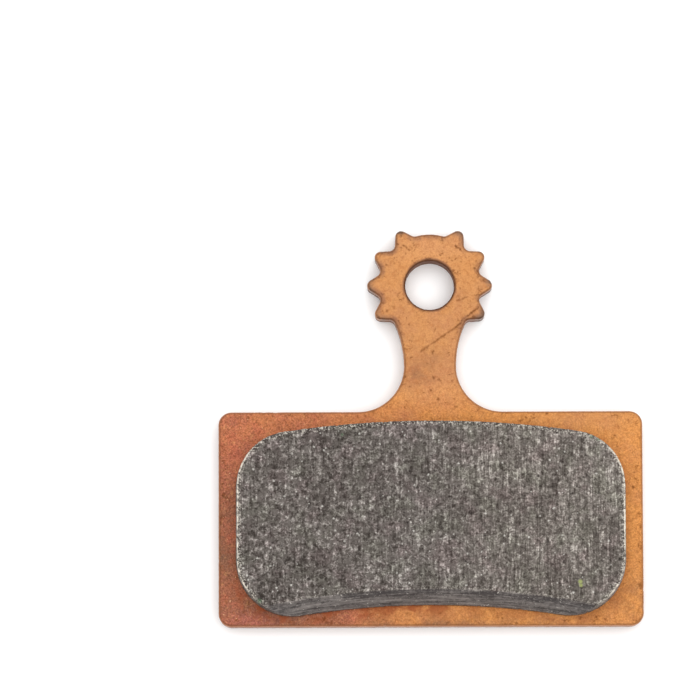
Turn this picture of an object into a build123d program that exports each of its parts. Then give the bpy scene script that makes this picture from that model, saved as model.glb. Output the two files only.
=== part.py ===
"""Sintered disc brake pad for a bicycle: a copper-plated steel backing plate with a cog-toothed
collar round its pin bore, and a friction lining bonded to the front of the plate.

Frame: the origin is on the axis of the pin bore, in the plane of the plate's back face.
+X runs across the pad, +Y from the lining to the collar and +Z out of the friction face.
Lengths are in millimetres and angles in degrees.
"""

import os
from math import acos, atan2, cos, degrees, hypot, radians, sin

from build123d import *

# Backing plate, stamped from one sheet
PLATE_WIDTH = 29.4
PLATE_HEIGHT = 14.9
PLATE_THICKNESS = 1.8
PLATE_CORNER_RADIUS = 0.9
FRONT_EDGE_ROLL = 0.2
BACK_EDGE_BREAK = 0.08

# Pin bore and the toothed collar round it
PIN_BORE_DIAMETER = 3.4
PIN_TO_PLATE = 8.82
COLLAR_TIP_RADIUS = 4.35
COLLAR_ROOT_RADIUS = 3.58
TOOTH_TIP_RADIUS = 0.42
TOOTH_VALLEY_RADIUS = 0.41
TOOTH_DIVISIONS = 12
TEETH_PER_SIDE = 4

# Neck between the collar and the plate
NECK_WIDTH = 3.62
SHOULDER_RADIUS = 3.2

# Friction lining, a band between two arcs about the rotor's axis
ROTOR_RADIUS = 70.0
LINING_CROWN_INSET = 0.7
LINING_BAND_HEIGHT = 12.75
LINING_WIDTH = 27.0
LINING_THICKNESS = 2.2
LINING_CORNER_RADIUS = 3.9
LINING_DRAFT = 3.0
FOOT_BEVEL_WIDTH = 0.84
FOOT_BEVEL_LAND = 0.4

# Places on the plate
plate_top = -PIN_TO_PLATE
plate_foot = plate_top - PLATE_HEIGHT
plate_side = PLATE_WIDTH / 2
waist = NECK_WIDTH / 2
waist_height = plate_top + SHOULDER_RADIUS

# Places on the lining
rotor_axis = plate_top - LINING_CROWN_INSET - ROTOR_RADIUS
foot_radius = ROTOR_RADIUS - LINING_BAND_HEIGHT
lining_middle = rotor_axis + (ROTOR_RADIUS + foot_radius) / 2
friction_face = PLATE_THICKNESS + LINING_THICKNESS
bevel_start = PLATE_THICKNESS + FOOT_BEVEL_LAND

# Angles of the collar's teeth, from the +X axis
half_pitch = 180 / TOOTH_DIVISIONS
tooth_angles = [90 - 2 * half_pitch * (tooth + 1) for tooth in range(TEETH_PER_SIDE)]
crown_valley_angle = tooth_angles[0] + half_pitch
neck_valley_angle = tooth_angles[-1] - half_pitch


def polar(radius, angle, center=(0, 0)):
    """The point at a radius and an angle from a centre."""
    return (center[0] + radius * cos(radians(angle)), center[1] + radius * sin(radians(angle)))


def tip_center(angle):
    """The centre of the arc that rounds the tip of the tooth at an angle."""
    return polar(COLLAR_TIP_RADIUS - TOOTH_TIP_RADIUS, angle)


def valley_center(angle):
    """The centre of the arc that rounds the valley at an angle and touches the root circle."""
    return polar(COLLAR_ROOT_RADIUS + TOOTH_VALLEY_RADIUS, angle)


def tip_half_turn():
    """How far a tip arc turns from the tooth's axis to where the straight flank leaves it.

    The flank is the crossed tangent of the tip arc and the valley arc beside it.
    """
    tip_x, tip_y = tip_center(0)
    valley_x, valley_y = valley_center(-half_pitch)
    run_x, run_y = valley_x - tip_x, valley_y - tip_y
    lean = acos((TOOTH_TIP_RADIUS + TOOTH_VALLEY_RADIUS) / hypot(run_x, run_y))
    return -degrees(atan2(run_y, run_x) + lean)


tip_turn = tip_half_turn()
valley_turn = tip_turn - half_pitch


def draw_tooth(angle):
    """One tooth: the arc at its tip and a flank on each side, down to the valleys beside it."""
    CenterArc(tip_center(angle), TOOTH_TIP_RADIUS, angle - tip_turn, 2 * tip_turn)
    for side in (1, -1):
        flank_normal = angle + side * tip_turn
        Line(
            polar(TOOTH_TIP_RADIUS, flank_normal, tip_center(angle)),
            polar(TOOTH_VALLEY_RADIUS, flank_normal + 180, valley_center(angle + side * half_pitch)),
        )


def draw_neck():
    """The valley under the lowest tooth, the flare of the neck and the shoulder on to the plate.

    The flare is upright at the waist and runs into the valley arc without a corner.
    """
    valley_x, valley_y = valley_center(neck_valley_angle)
    across, down = waist - valley_x, waist_height - valley_y
    flare_radius = (TOOTH_VALLEY_RADIUS**2 - across**2 - down**2) / (2 * (across + TOOTH_VALLEY_RADIUS))
    flare_center = (waist + flare_radius, waist_height)
    flare_end = degrees(atan2(valley_y - flare_center[1], valley_x - flare_center[0]))
    flank_end = neck_valley_angle + 180 - valley_turn
    CenterArc((valley_x, valley_y), TOOTH_VALLEY_RADIUS, flank_end, flare_end - flank_end)
    CenterArc(flare_center, flare_radius, flare_end, 180 - flare_end)
    CenterArc((waist + SHOULDER_RADIUS, waist_height), SHOULDER_RADIUS, 180, 90)


def draw_half_plate():
    """The right half of the plate's own rectangle, from the shoulder round to the middle of its foot."""
    corner_x = plate_side - PLATE_CORNER_RADIUS
    top_corner = (corner_x, plate_top - PLATE_CORNER_RADIUS)
    foot_corner = (corner_x, plate_foot + PLATE_CORNER_RADIUS)
    Line((waist + SHOULDER_RADIUS, plate_top), (corner_x, plate_top))
    CenterArc(top_corner, PLATE_CORNER_RADIUS, 0, 90)
    Line((plate_side, top_corner[1]), (plate_side, foot_corner[1]))
    CenterArc(foot_corner, PLATE_CORNER_RADIUS, 270, 90)
    Line((corner_x, plate_foot), (0, plate_foot))


# Backing plate: its right half is drawn as one run of tangent lines and arcs, then mirrored
with BuildPart() as backing_plate:
    with BuildSketch():
        with BuildLine():
            CenterArc((0, 0), COLLAR_ROOT_RADIUS, crown_valley_angle, 90 - crown_valley_angle)
            CenterArc(
                valley_center(crown_valley_angle), TOOTH_VALLEY_RADIUS, crown_valley_angle + 180, valley_turn
            )
            for tooth_angle in tooth_angles:
                draw_tooth(tooth_angle)
            for tooth_angle in tooth_angles[:-1]:
                valley_angle = tooth_angle - half_pitch
                CenterArc(
                    valley_center(valley_angle),
                    TOOTH_VALLEY_RADIUS,
                    valley_angle + 180 - valley_turn,
                    2 * valley_turn,
                )
            draw_neck()
            draw_half_plate()
            mirror(about=Plane.YZ)
        make_face()
        Circle(PIN_BORE_DIAMETER / 2, mode=Mode.SUBTRACT)
    extrude(amount=PLATE_THICKNESS)
    front_face = backing_plate.faces().sort_by(Axis.Z)[-1]
    fillet(front_face.edges(), FRONT_EDGE_ROLL)
    back_face = backing_plate.faces().sort_by(Axis.Z)[0]
    chamfer(back_face.outer_wire().edges(), BACK_EDGE_BREAK)

backing_plate.part.label = "backing_plate"

# Friction lining: the band has rounded corners and drafted walls, and is bevelled along its foot
with BuildPart() as friction_lining:
    with BuildSketch(Plane.XY.offset(PLATE_THICKNESS)) as band:
        with Locations((0, rotor_axis)):
            Circle(ROTOR_RADIUS)
            Circle(foot_radius, mode=Mode.SUBTRACT)
        with Locations((0, lining_middle)):
            Rectangle(LINING_WIDTH, 2 * LINING_BAND_HEIGHT, mode=Mode.INTERSECT)
        fillet(band.vertices(), LINING_CORNER_RADIUS)
    extrude(amount=LINING_THICKNESS)
    walls = friction_lining.faces().filter_by(Axis.Z, reverse=True)
    draft(walls, Plane.XY.offset(PLATE_THICKNESS), LINING_DRAFT)
    with Locations((0, rotor_axis, bevel_start)):
        Cone(
            foot_radius,
            foot_radius + FOOT_BEVEL_WIDTH,
            friction_face - bevel_start,
            align=(Align.CENTER, Align.CENTER, Align.MIN),
            mode=Mode.SUBTRACT,
        )

friction_lining.part.label = "friction_lining"

os.makedirs("parts", exist_ok=True)
export_step(backing_plate.part, "parts/backing_plate.step")
export_step(friction_lining.part, "parts/friction_lining.step")
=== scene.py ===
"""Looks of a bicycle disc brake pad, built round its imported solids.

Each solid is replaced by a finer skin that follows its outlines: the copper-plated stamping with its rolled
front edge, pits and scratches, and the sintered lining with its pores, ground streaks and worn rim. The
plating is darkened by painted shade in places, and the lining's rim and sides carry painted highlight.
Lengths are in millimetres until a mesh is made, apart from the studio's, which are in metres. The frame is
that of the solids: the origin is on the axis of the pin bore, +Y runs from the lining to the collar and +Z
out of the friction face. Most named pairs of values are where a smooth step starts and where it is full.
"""

from itertools import product
from math import cos, pi, radians, sin

import bpy
import numpy as np
from mathutils import Matrix, Vector
from mathutils.geometry import delaunay_2d_cdt
from mathutils.kdtree import KDTree


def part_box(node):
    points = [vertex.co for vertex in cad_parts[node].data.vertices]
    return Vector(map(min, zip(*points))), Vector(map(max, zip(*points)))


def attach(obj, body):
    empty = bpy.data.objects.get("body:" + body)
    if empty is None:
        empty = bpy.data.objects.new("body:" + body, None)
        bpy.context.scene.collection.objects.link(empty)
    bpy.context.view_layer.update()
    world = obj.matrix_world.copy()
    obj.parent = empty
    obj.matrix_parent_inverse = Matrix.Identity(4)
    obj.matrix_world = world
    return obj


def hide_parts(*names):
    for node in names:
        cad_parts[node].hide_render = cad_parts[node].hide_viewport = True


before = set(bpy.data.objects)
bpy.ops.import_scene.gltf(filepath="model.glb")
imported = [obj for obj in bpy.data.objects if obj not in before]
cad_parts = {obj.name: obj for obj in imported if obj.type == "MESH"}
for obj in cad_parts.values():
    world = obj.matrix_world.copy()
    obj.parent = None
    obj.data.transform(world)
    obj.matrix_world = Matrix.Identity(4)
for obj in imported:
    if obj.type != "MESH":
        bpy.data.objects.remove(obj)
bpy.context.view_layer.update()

MM = 0.001

# Camera, for a picture 700 pixels square
PICTURE_PIXELS = 700
FOCAL_PIXELS = 5446.0
SENSOR_WIDTH = 36.0
CAMERA_PLACE = (-3.778, -43.943, 377.924)
CAMERA_PITCH = 5.985
CAMERA_YAW = 0.269
CAMERA_ROLL = -0.185
CLIP_START = 10.0

# Corners and heights taken from the solids
plate_low, plate_high = (np.array(corner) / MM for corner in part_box("backing_plate"))
lining_low, lining_high = (np.array(corner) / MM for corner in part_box("friction_lining"))
plate_front = plate_high[2]
friction_face = lining_high[2]

# Studio light and floor, in metres
WORLD_LIGHT = 0.75
SOFTBOX_LIGHT = 1.7
SOFTBOX_PLACE = (0.08, 0.06, 0.6)
SOFTBOX_SIZE = 0.9
FLOOR_REACH = 2.0
FLOOR_DROP = 0.00002
FLOOR_WHITE = 0.98
FLOOR_ROUGHNESS = 0.9

# Light that falls on the pad, against light that would show a white sheet as just white
DIFFUSE_LIGHT = 1.2
METAL_LIGHT = 1.5

# Spacing of the skins' points, and how far within a solid's faces it is cut for an outline
PLATE_SPACING = 0.08
LINING_SPACING = 0.075
HIDDEN_SPACING = 0.6
BACK_SPACING = 0.35
SECTION_INSET = 0.001

# Shares of a spacing: nudge, distance kept from edges, and the fine points' reach under the lining
SPACING_NUDGE = 0.16
FINE_CLEARANCE = 0.6
COARSE_CLEARANCE = 0.5
HIDDEN_CLEARANCE = 1.0
HIDDEN_OVERLAP = 0.7

# Places in a list of outlines that runs from the smallest to the largest
SMALLEST, LARGEST = 0, -1

# Patches of the bake maps, as low and high corners, where a cap keeps its proportions and fills the width
PLATE_MAP = {
    "outer": (0.01, 0.02, 0.99, 0.3),
    "bore": (0.69, 0.4, 0.99, 0.52),
    "front": (0.01, 0.37, 0.67, 0.99),
    "back": (0.69, 0.6, 0.99, 0.9),
}
LINING_MAP = {
    "walls": (0.02, 0.3, 0.98, 0.48),
    "face": (0.02, 0.5, 0.98, 0.99),
    "bonded": (0.02, 0.02, 0.5, 0.27),
}

# Edges of the plate and of the lining
EDGE_ROLL = 0.2
BACK_BREAK = 0.08
PLATE_WALL_ROWS = 16
ROLL_ROWS = 7
LINING_RIM = 0.13
LINING_WALL_ROWS = 17
RIM_ROWS = 5

# Bevel along the lining's foot, concentric with the rotor
ROTOR_RADIUS = 70.0
BAND_HEIGHT = 12.75
BEVEL_WIDTH = 0.84
BEVEL_START = 2.2
BEVEL_FADE = 0.1
BEVEL_CLEARANCE = 0.5
FOOT_TOP = 2.75
bevel_top = ROTOR_RADIUS - BAND_HEIGHT + BEVEL_WIDTH

# Pits in the plate's front, as places and radii
PLATE_PITS = (
    (1.39, 1.93, 0.09), (1.80, 1.83, 0.10), (2.22, 1.65, 0.09), (3.12, 1.19, 0.16),
    (-1.69, 0.84, 0.13), (-3.00, 1.46, 0.10), (-2.98, -1.76, 0.10), (-1.44, -2.77, 0.12),
    (0.23, -6.45, 0.15), (0.07, -7.36, 0.11), (0.53, -7.94, 0.13), (1.69, -8.46, 0.11),
    (12.80, -10.55, 0.11), (11.41, -23.10, 0.11), (12.02, -23.26, 0.11),
)

# Scratches on the plate's front, as the places of both ends, half the width and the strength
PLATE_SCRATCHES = (
    ((3.72, -1.20), (1.78, -2.97), 0.10, 0.9),
    ((1.78, -2.97), (-0.65, -4.62), 0.09, 0.6),
    ((1.76, 2.78), (2.26, 2.42), 0.08, 0.9),
    ((-1.84, 2.80), (-1.38, 2.46), 0.07, 0.8),
    ((1.82, -1.12), (2.60, -0.83), 0.08, 0.6),
)

# Shares of a mark's radius and of a scratch's half width that lie at full depth
MARK_FLOOR = 0.35
SCRATCH_FLOOR = 0.2

# Relief of the plate: strewn pits, depths, reaches from its edges, and strengths
PLATE_SEED = 11
LOOSE_PITS = 200
LOOSE_PIT_RADIUS = (0.03, 0.09)
LOOSE_PIT_STRENGTH = 0.6
LOOSE_PIT_STRAY = 1.5
PIT_WANDER = 0.07
PIT_DEPTH = 0.014
SCRATCH_DEPTH = 0.018
NICK_DEPTH = 0.04
NICK_REACH = 0.12
WALL_DEPTH = 0.004
TORN_DEPTH = 0.012
TORN_STRENGTH = 0.65
FRONT_DEPTH = 0.002
GRIME_REACH = 0.6

# Bands up the plate's walls, as shares of its thickness, and their fade, as shares of the edge's roll
NICK_BAND = (0.7, 0.95)
TORN_BAND = (0.62, 0.46)
TORN_WANDER = 0.035
WALL_FADE = (0.04, 0.25)

# Tint of the plating: a red drift across the pad, darker towards the left, part heat tint and part painted
# shade, and a paler neck
RED_DRIFT = 0.5
RED_ACROSS = (6.0, -14.0)
PALE_UP = (-9.5, -6.0)

# Patches of each tint, as the place of the middle, the reaches across and up, and the strength; those of
# the brownish tint along the bottom edge are painted shade
TINT_PATCHES = {
    "red": (
        (-14.2, -18.3, 2.0, 5.0, 0.40),
        (-9.4, -23.0, 4.2, 1.4, 0.55),
        (-0.9, -6.2, 0.9, 1.2, 0.15),
    ),
    "brown_and_shade": (
        # Along the bottom edge these patches are painted shade below the lining's foot
        (-1.0, -23.8, 8.0, 1.1, 0.58),
        (8.0, -23.2, 1.4, 0.8, 0.40),
        (12.5, -22.6, 3.5, 1.8, 0.08),
        (14.3, -22.0, 1.4, 1.7, 0.33),
        # On the neck these patches are a brownish tint
        (-0.4, -5.0, 1.4, 1.0, 0.22),
        (-0.9, -6.6, 1.0, 1.1, 0.34),
    ),
    "rose": ((-12.2, -23.4, 2.0, 0.8, 0.38),),
    "light": (
        (0.0, 2.6, 3.0, 1.2, 0.40),
        (-0.2, -7.6, 2.4, 0.7, 0.25),
    ),
    "pale": ((11.0, -9.3, 4.5, 1.0, 0.55),),
}

# Tarnish of the collar's edges and wear of its tips
COLLAR_UP = (-4.2, -2.4)
TARNISH_REACH = 0.28
TARNISH_FULL = 0.04
TIP_WEAR = (3.7, 4.3)

# Scorch marks on the plate beside the lining at the right, and painted shadow on it below the lining's foot
SCORCH_AND_SHADOW_FULL = 0.05
SIDE_SCORCH = 0.3
SIDE_SCORCH_REACH = 0.5
SIDE_SCORCH_ACROSS = (-2.0, 6.0)
FOOT_SHADOW_REACH = 1.2
FOOT_SHADOW_ACROSS = (5.0, -1.0)
FOOT_SHADOW_DOWN = (-20.0, -22.0)

# Specks in the lining, as places and radii
GREEN_SPECKS = ((-11.82, -22.07, 0.22), (11.06, -10.78, 0.17), (11.56, -10.98, 0.16), (-6.1, -10.6, 0.12))
STRAW_SPECKS = ((10.24, -20.80, 0.20), (10.28, -21.05, 0.17))
BRIGHT_SPECKS = (
    (-13.03, -20.32, 0.10), (-12.68, -20.29, 0.10), (-12.59, -20.58, 0.10), (-12.42, -21.29, 0.09),
    (-10.64, -21.15, 0.09), (9.76, -21.55, 0.10), (11.13, -21.52, 0.09), (9.61, -22.17, 0.12),
)

# Relief of the lining: pits and flecks strewn over it, and depths
LINING_SEED = 12
LINING_PITS = 420
LINING_PIT_RADIUS = (0.045, 0.12)
LOOSE_FLECKS = 260
FLECK_RADIUS = (0.04, 0.085)
LINING_PIT_DEPTH = 0.09
GRAIN_DEPTH = 0.05
STREAK_DEPTH = 0.035
CHIP_DEPTH = 0.07
RAGGED_DEPTH = 0.09
BEVEL_LINE_DEPTH = 0.004

# Parts of the lining's surface: reaches in from the rim, drops below the face, and places across
FACE_FADE = 0.12
RIM_REACH = 0.3
RIM_DROP = 0.35
FLANK_FADE = 0.006
ARRIS_REACH = 0.09
ARRIS_DROP = 0.3
ARRIS_ENDS = (12.6, 13.1)
GROUND_ACROSS = (-9.0, 9.0)

# Share of a wall's outward direction that is to the side on the flanks, and up the pad on the bevel
FLANK_LEAN = (0.45, 0.95)
BEVEL_LEAN = (-0.93, -0.97)

# Shading of the bevel: heights of its lighter lip and darker top, and places across
BEVEL_LIGHTER = (2.7, 3.0)
BEVEL_DARKER = (3.1, 3.6)
BEVEL_LEFT = (6.0, -4.0)
BEVEL_RIGHT = (6.0, 10.0)

# Bumps that shape the relief, as the size, seed and weight of each layer
BUMPS = {
    "nick": ((0.5, 21, 1.0),),
    "wall": (((0.18, 0.18, 1.6), 22, 1.0),),
    "torn": ((0.16, 23, 1.0),),
    "front": ((0.35, 24, 1.0),),
    "pit_across": ((0.16, 25, 1.0),),
    "pit_up": ((0.16, 26, 1.0),),
    "fracture": (((0.5, 0.5, 4.0), 27, 1.0),),
    "grain": ((0.24, 31, 1.0), (0.13, 32, 0.7)),
    "ridge": ((0.42, 33, 1.0),),
    "streak": (((0.15, 2.2, 0.5), 34, 1.0), ((0.09, 1.1, 0.5), 35, 0.5)),
    "chip": ((0.6, 36, 1.0), (0.2, 37, 0.4)),
    "line": (((2.4, 0.12, 0.12), 38, 1.0),),
    "ragged": ((0.3, 39, 1.0), (0.16, 40, 1.0)),
}

# Heights of the bumps at which a mark starts and at which it is full
NICK_BUMPS = (0.45, 0.9)
STREAK_BUMPS = (0.1, 0.75)
CHIP_BUMPS = (0.35, 0.9)
RAGGED_BUMPS = (0.15, 1.1)

# Colours seen on the plating, as 0 to 255 values of red, green and blue
WARM_COPPER = (218, 150, 86)
PALE_COPPER = (208, 150, 100)
RED_COPPER = (184, 110, 85)
# Burnt copper is also painted shade, where the plating darkens towards the left
BURNT_AND_SHADED_COPPER = (139, 99, 80)
# The brownish copper is partly painted shade along the bottom edge
BROWN_AND_SHADED_COPPER = (155, 110, 80)
ROSE_COPPER = (186, 100, 100)
LIGHT_COPPER = (232, 170, 114)
DULL_COPPER = (158, 94, 52)
BRIGHT_COPPER = (236, 172, 112)
FLUSHED_COPPER = (190, 104, 82)
GLINTING_COPPER = (250, 196, 150)
# Scorch beside the lining, and painted shadow below its foot, share this copper
SCORCHED_AND_SHADED_COPPER = (156, 82, 50)
DIRTY_COPPER = (134, 74, 30)
WALL_COPPER = (204, 140, 98)
DRAWN_COPPER = (240, 180, 136)
TORN_COPPER = (126, 82, 60)
TARNISHED_COPPER = (140, 98, 80)
WORN_TIP = (158, 130, 110)
DARK_TIP = (92, 80, 76)

# Colours seen on the lining, in the same way, with a place from 0 to 1 for each stop of a ramp
LINING_TONES = (
    (0.0, (53, 46, 41)),
    (0.25, (81, 74, 69)),
    (0.5, (107, 100, 95)),
    (0.75, (147, 140, 134)),
    (1.0, (203, 196, 190)),
)
BEVEL_TONES = ((0.0, (66, 60, 59)), (1.0, (146, 138, 133)))
BEVEL_SPECK = (212, 205, 196)
# The arris colour is partly a painted highlight
WORN_AND_LIT_ARRIS = (250, 240, 222)
# The rim flecks are partly a painted highlight
RIM_FLECK_AND_HIGHLIGHT = (212, 205, 192)
PORE = (46, 40, 37)
BRIGHT_SPECK = (222, 218, 210)
GREEN_SPECK = (72, 104, 72)
STRAW_SPECK = (168, 176, 108)

# Shares of red, green and blue light that the lining's clouds of hue let through
GREENER = (0.94, 0.98, 0.93, 1)
ROSIER = (1.0, 0.935, 0.965, 1)
WARMER = (1.0, 0.99, 0.965, 1)

# Heights of the finest relief, which only the shading shows
PLATING_BUMP = 0.02
LINING_BUMP = 0.03


def seen_as(tone, light):
    """The shader colour that a light of the given strength shows as these 0 to 255 values."""
    shares = np.array(tone) / 255
    linear = np.where(shares <= 0.04045, shares / 12.92, ((shares + 0.055) / 1.055) ** 2.4)
    return (*(linear / light).tolist(), 1.0)


def step(values, low, high):
    """A smooth rise from 0 at low to 1 at high, or a fall where high is the lower."""
    share = np.clip((np.asarray(values, float) - low) / (high - low), 0, 1)
    return share * share * (3 - 2 * share)


# Outlines of the solids


def solid_of(node):
    """A node's points, each once, and the numbers of each triangle's three points."""
    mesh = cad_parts[node].data
    mesh.calc_loop_triangles()
    places = np.empty(3 * len(mesh.vertices), np.float32)
    mesh.vertices.foreach_get("co", places)
    corners = np.empty(3 * len(mesh.loop_triangles), np.int32)
    mesh.loop_triangles.foreach_get("vertices", corners)
    points, same = np.unique((places.reshape(-1, 3) / MM).round(4), axis=0, return_inverse=True)
    return points, same.ravel()[corners].reshape(-1, 3)


def sections(solid, height):
    """The closed outlines in which a level plane cuts a solid, from the smallest to the largest."""
    points, triangles = solid
    above = points[:, 2] > height
    beside = {}
    for corners in triangles[above[triangles].any(1) & ~above[triangles].all(1)]:
        pairs = [tuple(sorted(pair)) for pair in zip(corners.tolist(), np.roll(corners, 1).tolist())]
        ends = [pair for pair in pairs if above[pair[0]] != above[pair[1]]]
        for here, there in (ends, ends[::-1]):
            beside.setdefault(here, []).append(there)
    loops = []
    while beside:
        edge = next(iter(beside))
        edges = []
        while edge is not None:
            edges.append(edge)
            edge = next((other for other in beside.pop(edge) if other in beside), None)
        low, high = points[np.array(edges)].swapaxes(0, 1)
        share = (height - low[:, 2:]) / (high[:, 2:] - low[:, 2:])
        loops.append((low + share * (high - low))[:, :2])
    return sorted(loops, key=lambda loop: np.ptp(loop[:, 0]))


def even_ring(loop, count):
    """Points spaced evenly along an outline, anticlockwise from its highest crossing of x = 0."""
    ahead = np.roll(loop, -1, 0)
    if (loop[:, 0] * ahead[:, 1] - ahead[:, 0] * loop[:, 1]).sum() < 0:
        loop = loop[::-1]
        ahead = np.roll(loop, -1, 0)
    crossings = np.flatnonzero((loop[:, 0] > 0) & (ahead[:, 0] <= 0))
    first = crossings[loop[crossings, 1].argmax()]
    share = loop[first, 0] / (loop[first, 0] - ahead[first, 0])
    start = loop[first] + share * (ahead[first] - loop[first])
    path = np.vstack([start, np.roll(loop, -first - 1, 0), start])
    lengths = np.append(0, np.hypot(*np.diff(path, axis=0).T).cumsum())
    stations = np.linspace(0, lengths[-1], count, endpoint=False)
    return np.stack([np.interp(stations, lengths, path[:, axis]) for axis in (0, 1)], 1)


def girth(loop):
    """The length of a closed outline."""
    return np.hypot(*(np.roll(loop, -1, 0) - loop).T).sum()


def outward(ring):
    """The level direction away from the material at each point of an anticlockwise ring."""
    along = np.roll(ring, -1, 0) - np.roll(ring, 1, 0)
    return np.stack([along[:, 1], -along[:, 0]], 1) / np.hypot(*along.T)[:, None]


# Points and triangles


def lifted(plan, height):
    """Points in plan, put at a height."""
    return np.column_stack([plan, np.full(len(plan), height)])


def set_out(low, high, spacing, rng):
    """Points that fill a rectangle in staggered rows, each nudged a little."""
    rows = np.arange(low[1], high[1], spacing * sin(radians(60)))
    columns = np.arange(low[0], high[0], spacing)
    x, y = np.meshgrid(columns, rows)
    x = x + spacing / 2 * (np.arange(len(rows)) % 2)[:, None]
    points = np.stack([x.ravel(), y.ravel()], 1)
    return points + spacing * rng.uniform(-SPACING_NUDGE, SPACING_NUDGE, points.shape)


def inside(points, ring):
    """Whether each point lies within a closed outline."""
    x, y = points.T
    within = np.zeros(len(points), bool)
    for (from_x, from_y), (to_x, to_y) in zip(ring, np.roll(ring, -1, 0)):
        level = (from_y > y) != (to_y > y)
        within[level] ^= x[level] < from_x + (y[level] - from_y) * (to_x - from_x) / (to_y - from_y)
    return within


def between(points, rings):
    """Whether each point lies within the first ring and outside the others."""
    kept = inside(points, rings[0])
    for ring in rings[1:]:
        kept &= ~inside(points, ring)
    return kept


def distance_to(points, *rings):
    """How far each point lies from the nearest point of some rings."""
    places = np.vstack(rings)
    tree = KDTree(len(places))
    for number, place in enumerate(places):
        tree.insert((*place, 0), number)
    tree.balance()
    return np.array([tree.find((*point, 0))[2] for point in points])


def spread_between(rings, low, high, spacing, clearance, rng):
    """Points between some rings, clear of them all by a share of the points' own spacing."""
    points = set_out(low, high, spacing, rng)
    points = points[between(points, rings)]
    return points[distance_to(points, *rings) > spacing * clearance]


def fill(rings, points):
    """Triangles between some rings, as numbers into the rings' points and then the other points."""
    edges = []
    first = 0
    for ring in rings:
        numbers = np.arange(first, first + len(ring))
        edges += zip(numbers.tolist(), np.roll(numbers, -1).tolist())
        first += len(ring)
    places = np.vstack([*rings, points])
    whole_hull = 0
    same_place = 1e-7
    made = delaunay_2d_cdt([Vector(place) for place in places], edges, [], whole_hull, same_place, True)
    sources = np.array([source[0] for source in made[3]])
    triangles = sources[np.array(made[2])]
    return triangles[between(places[triangles].mean(1), rings)]


class Skin:
    """A closed surface put together from walls and caps, with a map of its faces for baking."""

    def __init__(self):
        self.points = np.empty((0, 3))
        self.triangles = np.empty((0, 3), int)
        self.map_places = np.empty((0, 3, 2))

    def plan(self, numbers):
        """The places in plan of the points with some numbers."""
        return self.points[numbers, :2]

    def at(self, numbers, values, elsewhere=0.0):
        """A value for each point: those given at the points with some numbers, and one for the rest."""
        whole = np.full(len(self.points), elsewhere)
        whole[numbers] = values
        return whole

    def add_points(self, points):
        """Takes in some points and returns their numbers."""
        first = len(self.points)
        self.points = np.vstack([self.points, points])
        return np.arange(first, len(self.points))

    def add_faces(self, triangles, map_places):
        """Takes in some triangles and the places of their corners on the map."""
        self.triangles = np.vstack([self.triangles, triangles])
        self.map_places = np.vstack([self.map_places, map_places])

    def add_wall(self, rows, patch):
        """Joins rings of points one above another, and returns the point numbers of each row."""
        count, around = rows.shape[:2]
        numbers = self.add_points(rows.reshape(-1, 3)).reshape(count, around)
        across, up = np.meshgrid(np.arange(around), np.arange(count - 1))
        corners = [(across, up), (across + 1, up), (across + 1, up + 1), (across, up + 1)]
        low_u, low_v, high_u, high_v = patch
        for picked in ((0, 1, 2), (0, 2, 3)):
            chosen = [corners[corner] for corner in picked]
            faces = np.stack([numbers[row, column % around] for column, row in chosen], -1)
            shares = [np.stack([column / around, row / (count - 1)], -1) for column, row in chosen]
            places = np.stack(shares, -2) * (high_u - low_u, high_v - low_v) + (low_u, low_v)
            self.add_faces(faces.reshape(-1, 3), places.reshape(-1, 3, 2))
        return numbers

    def add_cap(self, rings, points, height, patch, faces_up=True):
        """Fills the space within rings of points that the skin has, and returns the new points' numbers."""
        plan = [self.plan(ring) for ring in rings]
        triangles = fill(plan, points)
        new = self.add_points(lifted(points, height))
        numbers = np.concatenate([*rings, new])[triangles]
        first, second, third = self.plan(numbers).swapaxes(0, 1)
        x, y = (second - first).T
        other_x, other_y = (third - first).T
        wrong = (x * other_y - y * other_x > 0) != faces_up
        numbers[wrong] = numbers[wrong][:, ::-1]
        low = plan[0].min(0)
        scale = (patch[2] - patch[0]) / np.ptp(plan[0][:, 0])
        self.add_faces(numbers, (self.plan(numbers) - low) * scale + patch[:2])
        return new

    def mesh(self, name):
        """A smooth mesh of the skin, in metres."""
        mesh = bpy.data.meshes.new(name)
        mesh.from_pydata((self.points * MM).tolist(), [], self.triangles.tolist())
        mesh.shade_smooth()
        bake_map = mesh.uv_layers.new(name="OFBake")
        bake_map.uv.foreach_set("vector", self.map_places.astype(np.float32).ravel())
        return mesh


def sink(mesh, points, depth):
    """Moves each point of a mesh straight in from the surface by its depth."""
    normals = np.empty(3 * len(points), np.float32)
    mesh.vertex_normals.foreach_get("vector", normals)
    moved = points - normals.reshape(-1, 3) * np.maximum(depth, 0)[:, None]
    mesh.vertices.foreach_set("co", (moved * MM).astype(np.float32).ravel())
    mesh.update()


def keep_values(mesh, **values):
    """Stores named values at a mesh's points, for its material to read."""
    for name, numbers in values.items():
        attribute = mesh.attributes.new(name, "FLOAT", "POINT")
        attribute.data.foreach_set("value", np.asarray(numbers, np.float32))


def place_piece(mesh, node, material):
    """Puts a skin in the scene in place of a node."""
    mesh.materials.append(material)
    piece = bpy.data.objects.new(mesh.name, mesh)
    bpy.context.scene.collection.objects.link(piece)
    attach(piece, "root")
    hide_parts(node)


# Relief


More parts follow.
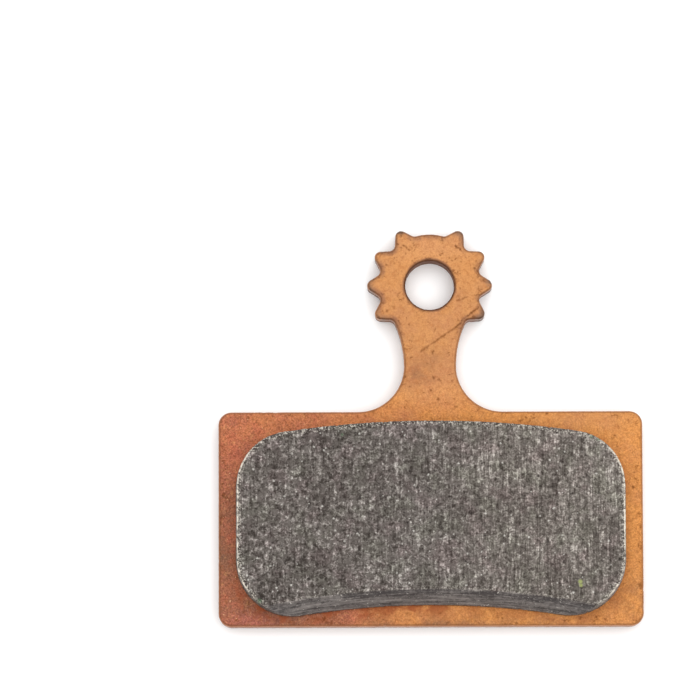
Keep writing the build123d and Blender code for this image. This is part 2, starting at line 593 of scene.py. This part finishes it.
def rough(points, size, seed):
    """Gradient noise at some points, from about -1 to 1, with bumps of about the given size."""
    rng = np.random.default_rng(seed)
    table = 512
    gain = 1.7
    order = rng.permutation(table)
    slopes = rng.normal(size=(table, 3))
    slopes /= np.linalg.norm(slopes, axis=1)[:, None]
    places = points / np.asarray(size)
    cells = np.floor(places).astype(int)
    parts = places - cells
    fade = parts**3 * (parts * (parts * 6 - 15) + 10)
    total = np.zeros(len(points))
    for corner in product((0, 1), repeat=3):
        x, y, z = (cells + corner).T
        picked = order[(order[(order[x % table] + y) % table] + z) % table]
        weight = np.where(corner, fade, 1 - fade).prod(1)
        total += weight * ((parts - corner) * slopes[picked]).sum(1)
    return gain * total


def bumps(points, kind):
    """One kind of bumps at some points: its layers of noise, each by its weight."""
    return sum(weight * rough(points, size, seed) for size, seed, weight in BUMPS[kind])


def dimples(points, marks):
    """How deep round marks go at some points in plan: 1 at a mark's middle and 0 past its radius."""
    deepest = np.zeros(len(points))
    for x, y, radius in marks:
        near = np.flatnonzero(np.abs(points - (x, y)).max(1) < radius)
        away = np.hypot(*(points[near] - (x, y)).T) / radius
        deepest[near] = np.maximum(deepest[near], step(away, 1, MARK_FLOOR))
    return deepest


def grooves(points, scratches):
    """How deep scratches go at some points in plan: deepest in the middle and 0 past half the width."""
    deepest = np.zeros(len(points))
    for start, end, half_width, strength in scratches:
        run = np.subtract(end, start)
        share = np.clip((points - start) @ run / (run @ run), 0, 1)
        away = np.hypot(*(points - start - share[:, None] * run).T)
        deepest = np.maximum(deepest, strength * step(away, half_width, SCRATCH_FLOOR * half_width))
    return deepest


def loose_marks(low, high, count, radii, rng):
    """Round marks strewn over a rectangle, small ones more often than large ones."""
    places = rng.uniform(low[:2], high[:2], (count, 2))
    sizes = radii[0] + (radii[1] - radii[0]) * rng.random(count) ** 2
    return np.column_stack([places, sizes])


def patchy(points, patches):
    """How strongly soft-edged patches show at some points in plan."""
    x, y = points.T
    shown = np.zeros(len(points))
    for middle_x, middle_y, reach_x, reach_y, strength in patches:
        shown += strength * np.exp(-(((x - middle_x) / reach_x) ** 2) - ((y - middle_y) / reach_y) ** 2)
    return shown


# Backing plate


def plate_rows(solid, which):
    """Rings of points up the plate's wall and round its rolled edge: the outer wall's or the bore's."""
    count = int(girth(sections(solid, plate_front / 2)[which]) / PLATE_SPACING)
    turns = np.radians(np.linspace(0, 90, ROLL_ROWS))[1:]
    roll = plate_front - EDGE_ROLL * (1 - np.sin(turns))
    wall = np.linspace(BACK_BREAK, plate_front - EDGE_ROLL, PLATE_WALL_ROWS)
    rows = []
    for height in np.concatenate([[0], wall, roll]):
        cut = np.clip(height, SECTION_INSET, plate_front - SECTION_INSET)
        rows.append(lifted(even_ring(sections(solid, cut)[which], count), height))
    return np.array(rows)


def plate_surface(covered, rng):
    """The plate's skin before its relief, and the numbers of its outer, bore, front and back points."""
    solid = solid_of("backing_plate")
    skin = Skin()
    outer = skin.add_wall(plate_rows(solid, LARGEST), PLATE_MAP["outer"])
    bore = skin.add_wall(plate_rows(solid, SMALLEST)[:, ::-1], PLATE_MAP["bore"])
    front_rings = [skin.plan(wall[-1]) for wall in (outer, bore)]
    shown = spread_between(front_rings, plate_low, plate_high, PLATE_SPACING, FINE_CLEARANCE, rng)
    hidden = spread_between([covered], plate_low, plate_high, HIDDEN_SPACING, HIDDEN_CLEARANCE, rng)
    in_view = ~inside(shown, covered)
    in_view |= distance_to(shown, covered) < HIDDEN_SPACING * HIDDEN_OVERLAP
    front_points = np.vstack([shown[in_view], hidden])
    front = skin.add_cap([outer[-1], bore[-1]], front_points, plate_front, PLATE_MAP["front"])
    back_rings = [skin.plan(wall[0]) for wall in (outer, bore)]
    back_points = spread_between(back_rings, plate_low, plate_high, BACK_SPACING, COARSE_CLEARANCE, rng)
    back = skin.add_cap([outer[0], bore[0]], back_points, 0.0, PLATE_MAP["back"], faces_up=False)
    return skin, outer, bore, front, back


def plate_tints(plan):
    """How strongly each tint of the plating shows at some points in plan."""
    tints = {name: patchy(plan, patches) for name, patches in TINT_PATCHES.items()}
    neck = step(plan[:, 1], *PALE_UP)
    # The drift darkens and reddens the plating towards the left: part heat tint, part painted shade
    tints["red"] += RED_DRIFT * step(plan[:, 0], *RED_ACROSS) * (1 - 0.8 * neck)
    tints["pale"] = np.minimum(neck + tints["pale"], 1)
    return tints


def plate_wear_and_shadow(skin, outer, front, covered):
    """Where the collar is tarnished, its tips are worn, heat has marked the plate beside the lining, and
    painted shadow darkens it below the lining's foot.
    """
    plan = skin.points[:, :2]
    x, y = plan.T
    collar = step(y, *COLLAR_UP)
    from_rim = distance_to(plan[front], plan[outer[-1]])
    tarnish = collar * skin.at(front, step(from_rim, TARNISH_REACH, TARNISH_FULL), elsewhere=1.0)
    tip = collar * step(np.hypot(x, y), *TIP_WEAR)
    from_lining = distance_to(plan[front], even_ring(covered, outer.shape[1]))
    from_lining = skin.at(front, from_lining, elsewhere=plate_high[0])
    beside = SIDE_SCORCH * step(from_lining, SIDE_SCORCH_REACH, SCORCH_AND_SHADOW_FULL) * step(x, *SIDE_SCORCH_ACROSS)
    # Painted shadow below the lining's foot, stronger towards the left
    below = step(from_lining, FOOT_SHADOW_REACH, SCORCH_AND_SHADOW_FULL) * step(y, *FOOT_SHADOW_DOWN)
    below *= 0.4 + 0.6 * step(x, *FOOT_SHADOW_ACROSS)
    return {"tarnish": tarnish, "tip": tip, "scorch_and_foot_shadow": np.maximum(beside, below)}


def make_plate():
    """The backing plate's skin, with its pits, scratches and worn edges."""
    rng = np.random.default_rng(PLATE_SEED)
    covered = sections(solid_of("friction_lining"), plate_front + SECTION_INSET)[LARGEST]
    skin, outer, bore, front, back = plate_surface(covered, rng)
    points = skin.points
    plan = points[:, :2]
    from_edge = skin.at(front, distance_to(plan[front], plan[outer[-1]], plan[bore[-1]]))
    from_edge[back] = distance_to(plan[back], plan[outer[0]], plan[bore[0]])
    on_front = skin.at(front, 1)
    wall_height = points[:, 2] / plate_front
    fade = [1 - share * EDGE_ROLL / plate_front for share in WALL_FADE]
    on_wall = skin.at(np.hstack([outer, bore]), 1) * step(wall_height, *fade)

    wander = PIT_WANDER * np.stack([bumps(points, "pit_across"), bumps(points, "pit_up")], 1)
    strewn = loose_marks(plate_low, plate_high, LOOSE_PITS, LOOSE_PIT_RADIUS, rng)
    loose = LOOSE_PIT_STRENGTH * dimples(plan + LOOSE_PIT_STRAY * wander, strewn)
    pit = on_front * np.maximum(dimples(plan + wander, PLATE_PITS), loose)
    scratch = on_front * grooves(plan + wander, PLATE_SCRATCHES)
    torn = on_wall * step(wall_height + TORN_WANDER * bumps(points, "fracture"), *TORN_BAND)
    nick = step(bumps(points, "nick"), *NICK_BUMPS) * step(from_edge, NICK_REACH, 0)
    nick *= step(wall_height, *NICK_BAND)
    depth = PIT_DEPTH * pit + SCRATCH_DEPTH * scratch + NICK_DEPTH * nick
    depth += on_wall * WALL_DEPTH * (1 + bumps(points, "wall"))
    depth += torn * TORN_DEPTH * (1 + bumps(points, "torn"))
    depth += on_front * FRONT_DEPTH * (1 + bumps(points, "front"))

    # The outer wall's torn band is shaded more faintly, and the bore's wall looks torn all the way up
    torn[outer] *= TORN_STRENGTH
    torn[bore] = on_wall[bore]

    mesh = skin.mesh("plate_skin")
    sink(mesh, points, depth)
    keep_values(mesh, pit=pit, scratch=scratch, torn=torn, wall=on_wall)
    keep_values(mesh, edge=step(from_edge, GRIME_REACH, 0))
    keep_values(mesh, **plate_tints(plan), **plate_wear_and_shadow(skin, outer, front, covered))
    return mesh


# Friction lining


def lining_rows(solid):
    """Rings of points up the lining's drafted walls and bevel, and over its worn rim."""
    count = int(girth(sections(solid, plate_front + SECTION_INSET)[LARGEST]) / LINING_SPACING)
    rows = []
    for height in np.linspace(plate_front, friction_face - LINING_RIM, LINING_WALL_ROWS):
        cut = np.clip(height, plate_front + SECTION_INSET, friction_face)
        rows.append(lifted(even_ring(sections(solid, cut)[LARGEST], count), height))
    for turn in np.radians(np.linspace(0, 90, RIM_ROWS))[1:]:
        height = friction_face - LINING_RIM * (1 - sin(turn))
        cut = min(height, friction_face - SECTION_INSET)
        ring = even_ring(sections(solid, cut)[LARGEST], count)
        rows.append(lifted(ring - LINING_RIM * (1 - cos(turn)) * outward(ring), height))
    return np.array(rows)


def lining_surface(rng):
    """The lining's skin before its relief, and the numbers of its wall and face points."""
    skin = Skin()
    walls = skin.add_wall(lining_rows(solid_of("friction_lining")), LINING_MAP["walls"])
    rim = skin.plan(walls[-1])
    face_points = spread_between([rim], lining_low, lining_high, LINING_SPACING, FINE_CLEARANCE, rng)
    face = skin.add_cap([walls[-1]], face_points, friction_face, LINING_MAP["face"])
    foot = skin.plan(walls[0])
    bonded = spread_between([foot], lining_low, lining_high, HIDDEN_SPACING, COARSE_CLEARANCE, rng)
    skin.add_cap([walls[0]], bonded, plate_front, LINING_MAP["bonded"], faces_up=False)
    return skin, walls, face


def round_rotor(points):
    """Places as the distance along the rotor's sweep, the distance from its axis, and the height."""
    x, y, z = points.T
    reach = y - (lining_high[1] - ROTOR_RADIUS)
    return np.stack([ROTOR_RADIUS * np.arctan2(x, reach), np.hypot(x, reach), z], 1)


def lining_parts(skin, walls, face):
    """How far each point belongs to the lining's face, walls, rim, flanks, worn arris and bevel; the arris
    also carries a painted highlight.
    """
    plan = skin.points[:, :2]
    height = skin.points[:, 2]
    from_rim = distance_to(plan[face], plan[walls[-1]])
    on_face = skin.at(face, step(from_rim, 0, FACE_FADE))
    on_wall = skin.at(walls, step(height[walls], friction_face, friction_face - LINING_RIM))
    rim = skin.at(face, step(from_rim, RIM_REACH, 0))
    rim[walls] = step(height[walls], friction_face - RIM_DROP, friction_face - LINING_RIM)
    rim *= step(round_rotor(skin.points)[:, 1], bevel_top, bevel_top + BEVEL_CLEARANCE)
    sideways, upward = np.moveaxis([outward(plan[row]) for row in walls], -1, 0)
    flank = skin.at(walls, step(np.abs(sideways), *FLANK_LEAN))
    flank *= step(height, friction_face, friction_face - FLANK_FADE)
    arris = flank * step(height, friction_face - ARRIS_DROP, friction_face - LINING_RIM)
    # The arris's painted highlight reaches onto the face at the ends, stronger at the left end
    ends = step(-plan[face, 0], *ARRIS_ENDS) + 0.4 * step(plan[face, 0], *ARRIS_ENDS)
    arris[face] = 0.6 * ends * step(from_rim, ARRIS_REACH, 0)
    bevel = step(upward, *BEVEL_LEAN) * step(height[walls], BEVEL_START - BEVEL_FADE, BEVEL_START)
    return on_face, on_wall, rim, flank, arris, skin.at(walls, bevel)


def bevel_shade(points, lines, foot):
    """How light the bevel is: its scored lines, with a light lip by the foot, and lighter to the left."""
    x = points[:, 0]
    height = points[:, 2]
    leftward = step(x, *BEVEL_LEFT)
    shade = lines + (0.2 * step(height, *BEVEL_LIGHTER) - 0.4 * step(height, *BEVEL_DARKER))
    return shade + (0.2 * foot * (1 + leftward) + 0.15 * leftward - 0.08 * step(x, *BEVEL_RIGHT))


def make_lining():
    """The friction lining's skin: grain, pores, ground streaks, chipped rim and smooth bevel."""
    rng = np.random.default_rng(LINING_SEED)
    skin, walls, face = lining_surface(rng)
    on_face, on_wall, rim, flank, arris, bevel = lining_parts(skin, walls, face)
    points = skin.points
    plan = points[:, :2]

    ground = 0.7 + 0.3 * step(plan[:, 0], *GROUND_ACROSS)
    ridges = 1 - np.abs(bumps(points, "ridge"))
    streak = step(bumps(points, "streak"), *STREAK_BUMPS)
    streak *= on_face * ground
    strewn = loose_marks(lining_low, lining_high, LINING_PITS, LINING_PIT_RADIUS, rng)
    pit = dimples(plan, strewn) * np.maximum(on_face, 0.5 * on_wall) * (1 - bevel)
    chip = step(bumps(points, "chip"), *CHIP_BUMPS) * rim * (1 - bevel)
    lines = bumps(round_rotor(points), "line")
    coarse = GRAIN_DEPTH * np.clip(0.5 - 0.32 * bumps(points, "grain") - 0.25 * (ridges - 0.7), 0, 1)
    depth = coarse * (1 - 0.85 * bevel) * (1 - 0.6 * on_wall) + bevel * BEVEL_LINE_DEPTH * (1 + lines)
    depth += LINING_PIT_DEPTH * pit + STREAK_DEPTH * streak + CHIP_DEPTH * chip
    depth += RAGGED_DEPTH * on_wall * (1 - bevel) * step(bumps(points, "ragged"), *RAGGED_BUMPS)
    flecks = loose_marks(lining_low, lining_high, LOOSE_FLECKS, FLECK_RADIUS, rng)
    bright = on_face * np.maximum(dimples(plan, BRIGHT_SPECKS), dimples(plan, flecks))
    foot = bevel * step(points[:, 2], FOOT_TOP, BEVEL_START + BEVEL_FADE)

    mesh = skin.mesh("lining_skin")
    sink(mesh, points, depth)
    keep_values(mesh, deep=coarse / GRAIN_DEPTH, pit=np.maximum(pit, chip), ground=ground)
    keep_values(mesh, flank=flank, arris=arris, rim=rim, bright=bright)
    keep_values(mesh, bevel=bevel, foot=foot, lines=bevel_shade(points, lines, foot))
    keep_values(mesh, green=dimples(plan, GREEN_SPECKS), straw=dimples(plan, STRAW_SPECKS))
    return mesh


# Materials


class Paint:
    """A material's node tree, with a short call for each kind of node it uses."""

    def __init__(self, name, light):
        self.light = light
        self.material = bpy.data.materials.new(name)
        self.material.use_nodes = True
        self.tree = self.material.node_tree
        self.shader = self.tree.nodes["Principled BSDF"]
        place = self.tree.nodes.new("ShaderNodeTexCoord").outputs["Object"]
        self.place = self.node("VectorMath", {0: place, "Scale": 1 / MM}, operation="SCALE").outputs[0]

    def join(self, source, socket):
        """Links an output to a socket, or sets the socket to a plain value."""
        if isinstance(source, bpy.types.NodeSocket):
            self.tree.links.new(source, socket)
        else:
            socket.default_value = source

    def node(self, kind, sockets, **settings):
        """A new node of some kind, with its settings made and its sockets joined."""
        made = self.tree.nodes.new("ShaderNode" + kind)
        for name, value in settings.items():
            setattr(made, name, value)
        for key, source in sockets.items():
            self.join(source, made.inputs[key])
        return made

    def value(self, name):
        """The value that the mesh keeps under a name."""
        return self.node("Attribute", {}, attribute_name=name).outputs["Fac"]

    def noise(self, size, stretch=(1, 1, 1), detail=2.0, roughness=0.5, curl=0.0):
        """Noise about 0, with features of about the given size in millimetres."""
        place = self.node("VectorMath", {0: self.place, 1: stretch}, operation="DIVIDE").outputs[0]
        sockets = {"Vector": place, "Scale": 1 / size, "Detail": detail}
        sockets |= {"Roughness": roughness, "Distortion": curl}
        return self.maths("SUBTRACT", self.node("TexNoise", sockets).outputs["Fac"], 0.5)

    def step(self, value, low, high, to=1.0):
        """A smooth rise from 0 at low, to the given value at high."""
        sockets = {"Value": value, "From Min": low, "From Max": high, "To Min": 0.0, "To Max": to}
        return self.node("MapRange", sockets, interpolation_type="SMOOTHSTEP").outputs["Result"]

    def maths(self, operation, *values):
        """The result of a sum on some values."""
        return self.node("Math", dict(enumerate(values)), operation=operation).outputs[0]

    def times(self, value, factor):
        """One value times another."""
        return self.maths("MULTIPLY", value, factor)

    def total(self, start, *terms):
        """A start value plus each value times its weight."""
        for value, weight in terms:
            start = self.maths("MULTIPLY_ADD", value, weight, start)
        return start

    def mix(self, share, first, second, mode="MIX"):
        """Two colours mixed by a share."""
        made = self.tree.nodes.new("ShaderNodeMix")
        made.data_type = "RGBA"
        made.blend_type = mode
        sockets = {socket.name: socket for socket in made.inputs if socket.enabled}
        for name, source in (("Factor", share), ("A", first), ("B", second)):
            self.join(source, sockets[name])
        return next(socket for socket in made.outputs if socket.enabled)

    def lighten(self, colour, factor):
        """A colour made lighter or darker by a factor."""
        return self.node("VectorMath", {0: colour, "Scale": factor}, operation="SCALE").outputs[0]

    def ramp(self, value, *stops):
        """A colour from a row of stops, each a place from 0 to 1 and the 0 to 255 values seen there."""
        made = self.node("ValToRGB", {"Fac": value})
        elements = made.color_ramp.elements
        while len(elements) < len(stops):
            elements.new(0.5)
        for element, (place, _) in zip(elements, stops):
            element.position = place
        for element, (_, tone) in zip(elements, stops):
            element.color = seen_as(tone, self.light)
        return made.outputs["Color"]

    def cover(self, colour, mask, share, tone):
        """A colour with another laid over it where a mask is 1, by the given share."""
        return self.mix(self.times(mask, share), colour, seen_as(tone, self.light))

    def bump(self, height, distance):
        """Fine relief, with heights of up to the given distance in millimetres."""
        sockets = {"Height": height, "Distance": distance * MM, "Strength": 1.0}
        self.join(self.node("Bump", sockets).outputs["Normal"], self.shader.inputs["Normal"])


def plating_tint(paint, cloud, blush):
    """The plating's colour: warm, paler up the neck, tinted by heat in patches, and darkened by painted
    shade towards the left and along the bottom edge.
    """
    plain = paint.total(0.0, (paint.value("pale"), 0.8), (cloud, 1.5))
    colour = paint.ramp(plain, (0.0, WARM_COPPER), (1.0, PALE_COPPER))
    red = paint.total(paint.value("red"), (cloud, 0.6))
    colour = paint.cover(colour, red, 1.7, RED_COPPER)
    # Where the red tint is deepest, towards the left, it is partly painted shade
    colour = paint.cover(colour, paint.total(-0.5, (red, 1.0)), 2.0, BURNT_AND_SHADED_COPPER)
    # The brownish cover is painted shade along the bottom edge, and a tint on the neck
    brown_and_shade = paint.times(paint.value("brown_and_shade"), paint.total(1.0, (blush, 6.0)))
    colour = paint.cover(colour, brown_and_shade, 1.0, BROWN_AND_SHADED_COPPER)
    colour = paint.cover(colour, paint.value("rose"), 1.0, ROSE_COPPER)
    return paint.cover(colour, paint.value("light"), 1.0, LIGHT_COPPER)


def plating_grain(paint, colour, mottle, blush, spark):
    """A plating colour with its mottle and fine grain, and the flush and glints of its redder side."""
    colour = paint.cover(colour, paint.step(mottle, 0.02, -0.12), 0.4, DULL_COPPER)
    colour = paint.cover(colour, paint.step(mottle, 0.03, 0.14), 0.34, BRIGHT_COPPER)
    reddened = paint.step(paint.value("red"), 0.15, 0.5)
    flushed = paint.times(reddened, paint.step(blush, 0.0, 0.14))
    colour = paint.cover(colour, flushed, 0.35, FLUSHED_COPPER)
    coarse = paint.total(1.4, (paint.value("pale"), -0.8), (reddened, 0.7))
    colour = paint.lighten(colour, paint.maths("MULTIPLY_ADD", spark, coarse, 1.0))
    glint = paint.times(reddened, paint.step(paint.noise(0.2), 0.17, 0.22))
    return paint.cover(colour, glint, 0.7, GLINTING_COPPER)


def plating_dirt(paint):
    """How dirty the plating is: grimy in spots, more so by its edges, and dark in pits and scratches."""
    grime = paint.noise(0.4, detail=5.0, roughness=0.7, curl=0.4)
    grime = paint.step(paint.total(grime, (paint.value("edge"), 0.05)), 0.09, 0.2, to=0.55)
    dirt = paint.maths("MAXIMUM", paint.times(paint.value("pit"), 0.65), grime)
    return paint.maths("MAXIMUM", dirt, paint.times(paint.value("scratch"), 0.85))


def plating_edges(paint, colour, blush, spark):
    """A plating colour with its sheared and torn walls, the tarnished collar and its worn tips."""
    wall = paint.value("wall")
    colour = paint.cover(colour, wall, 0.6, WALL_COPPER)
    drawn = paint.times(wall, paint.step(paint.noise(0.16, (1.0, 1.0, 8.0)), 0.0, 0.15))
    colour = paint.cover(colour, drawn, 0.14, DRAWN_COPPER)
    torn = paint.times(paint.value("torn"), paint.total(1.0, (spark, 2.5)))
    colour = paint.cover(colour, torn, 0.6, TORN_COPPER)
    tarnish = paint.times(paint.value("tarnish"), paint.step(blush, -0.16, 0.1))
    colour = paint.cover(colour, tarnish, 0.6, TARNISHED_COPPER)
    tip = paint.times(paint.value("tip"), paint.step(blush, -0.16, 0.06))
    colour = paint.cover(colour, tip, 0.45, WORN_TIP)
    return paint.cover(colour, paint.times(tip, paint.value("tarnish")), 0.5, DARK_TIP)


def copper_material():
    """Satin copper plating: mottled, tinted by heat, dirty in its marks and worn at its edges, and darkened
    by painted shade below the lining's foot, along the bottom edge and towards the left.
    """
    paint = Paint("copper_plating", METAL_LIGHT)
    cloud = paint.noise(2.2, detail=4.0, roughness=0.6)
    mottle = paint.noise(0.36, detail=5.0, roughness=0.75, curl=0.6)
    spark = paint.noise(0.11, roughness=0.7)
    blush = paint.noise(1.4, detail=3.0, roughness=0.6, curl=0.5)
    colour = plating_tint(paint, cloud, blush)
    colour = plating_grain(paint, colour, mottle, blush, spark)
    # Scorch marks beside the lining, and painted shadow below its foot
    scorched_and_shaded = paint.times(paint.value("scorch_and_foot_shadow"), paint.step(blush, -0.12, 0.08))
    colour = paint.cover(colour, scorched_and_shaded, 0.8, SCORCHED_AND_SHADED_COPPER)
    dirt = plating_dirt(paint)
    colour = paint.cover(colour, dirt, 0.75, DIRTY_COPPER)
    colour = plating_edges(paint, colour, blush, spark)
    dull = paint.maths("MAXIMUM", dirt, paint.value("torn"))
    roughness = paint.total(0.55, (mottle, 0.3), (dull, 0.3), (paint.value("wall"), -0.2))
    paint.join(colour, paint.shader.inputs["Base Color"])
    paint.join(roughness, paint.shader.inputs["Roughness"])
    paint.shader.inputs["Metallic"].default_value = 1.0
    paint.bump(mottle, PLATING_BUMP)
    return paint.material


def crease(paint, size, stretch):
    """Thin lines up the pad, where noise drawn out that way passes through 0."""
    away = paint.maths("ABSOLUTE", paint.noise(size, (1.0, stretch, 1.0), detail=1.0))
    return paint.step(away, 0.04, 0.0)


def ground_lines(paint, ground):
    """The marks of grinding, lighter and darker than the rest: soft streaks, and sharp lines in them."""
    streaks = paint.total(
        0.0,
        (paint.noise(0.13, (1.0, 8.0, 1.0)), 0.65),
        (paint.noise(0.12, (1.0, 25.0, 1.0)), 0.5),
        (paint.noise(0.4, (1.0, 14.0, 1.0)), 0.5),
    )
    broken = paint.step(paint.noise(0.35, (1.0, 3.0, 1.0)), -0.02, 0.1)
    lines = paint.total(paint.times(crease(paint, 0.34, 14.0), broken), (crease(paint, 0.42, 12.0), -0.6))
    lined = paint.total(0.06, (paint.step(ground, 0.72, 1.0), 0.2))
    return streaks, paint.times(lined, lines)


def lining_tone(paint, grain, fine, ground):
    """How light the lining is: its grains and seams, the marks of grinding, its smooth islands, and painted
    light on its side walls.
    """
    seam = paint.maths("ABSOLUTE", paint.noise(0.3, detail=1.0, curl=0.5))
    streaks, lines = ground_lines(paint, ground)
    loose = paint.times(grain, paint.total(3.75, (ground, -2.35)))
    tone = paint.total(0.285, (loose, 1.0), (fine, 0.7), (seam, -1.1), (streaks, 0.95), (lines, 1.0))
    tone = paint.total(tone, (ground, 0.4), (paint.noise(2.4), 0.4), (paint.value("deep"), -0.2))
    # Painted light: the side walls are made lighter, as if lit from the sides
    tone = paint.total(tone, (paint.value("flank"), 0.24))
    island = paint.step(paint.noise(0.55, detail=1.0, curl=0.3), 0.07, 0.14)
    island = paint.times(island, paint.total(1.56, (ground, -1.33)))
    island_tone = 0.36
    return paint.total(tone, (paint.maths("SUBTRACT", island_tone, tone), island))


def lining_hue(paint, tone, ground):
    """The lining's colour for a tone, in greener and rosier clouds, and warmer where it is ground most."""
    hue = paint.noise(1.8, detail=4.0, roughness=0.65)
    colour = paint.ramp(tone, *LINING_TONES)
    colour = paint.mix(paint.step(hue, 0.01, 0.13), colour, GREENER, "MULTIPLY")
    colour = paint.mix(paint.step(hue, -0.01, -0.13), colour, ROSIER, "MULTIPLY")
    return paint.mix(paint.step(ground, 0.8, 1.0), colour, WARMER, "MULTIPLY")


def lining_bevel(paint, colour, grain):
    """A lining colour with the smooth, scored and specked bevel along its foot."""
    smooth = paint.step(paint.total(paint.value("bevel"), (grain, 2.5)), 0.3, 0.7)
    lines = paint.total(0.26, (paint.value("lines"), 0.75), (grain, 1.4))
    colour = paint.mix(paint.times(smooth, 0.9), colour, paint.ramp(lines, *BEVEL_TONES))
    speck = paint.total(paint.noise(0.16, detail=1.0), (paint.value("foot"), 0.05))
    speck = paint.times(paint.step(speck, 0.2, 0.25), paint.value("bevel"))
    return paint.cover(colour, speck, 0.7, BEVEL_SPECK)


def lining_wear_and_highlight(paint, colour, grain, fine):
    """A lining colour with its worn arris and flecked rim, both partly painted highlight, its black pores
    and single specks.
    """
    # The arris is worn, and painted near white as a highlight where the edge catches light
    worn = paint.times(paint.value("arris"), paint.step(grain, -0.1, 0.04))
    colour = paint.cover(colour, worn, 0.9, WORN_AND_LIT_ARRIS)
    # Light flecks along the rim: part chipped edge, part painted highlight
    flecked = paint.times(paint.value("rim"), paint.step(paint.total(fine, (grain, 0.5)), 0.03, 0.12))
    colour = paint.cover(colour, flecked, 0.7, RIM_FLECK_AND_HIGHLIGHT)
    colour = paint.cover(colour, paint.value("pit"), 0.75, PORE)
    colour = paint.cover(colour, paint.value("bright"), 0.85, BRIGHT_SPECK)
    colour = paint.cover(colour, paint.value("green"), 0.6, GREEN_SPECK)
    return paint.cover(colour, paint.value("straw"), 0.8, STRAW_SPECK)


def lining_material():
    """Sintered metal: a dark matrix with pale grains and flecks, black pores and ground streaks."""
    paint = Paint("sintered_lining", DIFFUSE_LIGHT)
    grain = paint.noise(0.36, detail=3.0, roughness=0.8, curl=0.5)
    fine = paint.noise(0.12, detail=1.0)
    ground = paint.value("ground")
    colour = lining_hue(paint, lining_tone(paint, grain, fine, ground), ground)
    colour = lining_bevel(paint, colour, grain)
    colour = lining_wear_and_highlight(paint, colour, grain, fine)
    paint.join(colour, paint.shader.inputs["Base Color"])
    paint.join(paint.total(0.65, (grain, -0.8)), paint.shader.inputs["Roughness"])
    paint.shader.inputs["Metallic"].default_value = 0.25
    paint.shader.inputs["Specular IOR Level"].default_value = 0.25
    paint.bump(grain, LINING_BUMP)
    return paint.material


# Studio


def make_floor():
    """A plain pale floor, just below the pad."""
    sides = ((-1, -1), (1, -1), (1, 1), (-1, 1))
    corners = [(x * FLOOR_REACH, y * FLOOR_REACH, -FLOOR_DROP) for x, y in sides]
    mesh = bpy.data.meshes.new("floor")
    mesh.from_pydata(corners, [], [(0, 1, 2, 3)])
    material = bpy.data.materials.new("floor")
    material.use_nodes = True
    shader = material.node_tree.nodes["Principled BSDF"]
    shader.inputs["Base Color"].default_value = (FLOOR_WHITE, FLOOR_WHITE, FLOOR_WHITE, 1)
    shader.inputs["Roughness"].default_value = FLOOR_ROUGHNESS
    mesh.materials.append(material)
    floor = bpy.data.objects.new("floor", mesh)
    bpy.context.scene.collection.objects.link(floor)


def add_softbox(name, place, size, power):
    """A square soft light, in metres and watts, aimed at the pad."""
    light = bpy.data.lights.new(name, "AREA")
    light.size = size
    light.energy = power
    lamp = bpy.data.objects.new(name, light)
    middle = Vector((plate_low + plate_high) / 2) * MM
    lamp.location = place
    lamp.rotation_mode = "QUATERNION"
    lamp.rotation_quaternion = (middle - Vector(place)).to_track_quat("-Z", "Y")
    bpy.context.scene.collection.objects.link(lamp)


def light_studio():
    """Even light from all round, with a wide soft box overhead."""
    world = bpy.data.worlds.new("studio")
    world.use_nodes = True
    world.node_tree.nodes["Background"].inputs["Color"].default_value = (1, 1, 1, 1)
    world.node_tree.nodes["Background"].inputs["Strength"].default_value = WORLD_LIGHT
    bpy.context.scene.world = world
    add_softbox("overhead", SOFTBOX_PLACE, SOFTBOX_SIZE, SOFTBOX_LIGHT * pi * SOFTBOX_SIZE**2)
    bpy.context.scene.view_settings.view_transform = "Standard"


def make_camera():
    """The camera, at the photograph's place, angle and field of view."""
    pitch, yaw, roll = (radians(angle) for angle in (CAMERA_PITCH, CAMERA_YAW, CAMERA_ROLL))
    back = Vector((sin(yaw), -sin(pitch) * cos(yaw), cos(pitch) * cos(yaw)))
    level = Vector((0, 1, 0)).cross(back).normalized()
    upright = back.cross(level)
    right = cos(roll) * level + sin(roll) * upright
    up = cos(roll) * upright - sin(roll) * level
    turn = Matrix((right, up, back)).transposed().to_4x4()
    data = bpy.data.cameras.new("camera")
    data.sensor_width = SENSOR_WIDTH
    data.lens = SENSOR_WIDTH * FOCAL_PIXELS / PICTURE_PIXELS
    data.clip_start = CLIP_START * MM
    camera = bpy.data.objects.new("camera", data)
    camera.matrix_world = Matrix.Translation(Vector(CAMERA_PLACE) * MM) @ turn
    bpy.context.scene.collection.objects.link(camera)
    bpy.context.scene.camera = camera


place_piece(make_plate(), "backing_plate", copper_material())
place_piece(make_lining(), "friction_lining", lining_material())
make_floor()
light_studio()
make_camera()
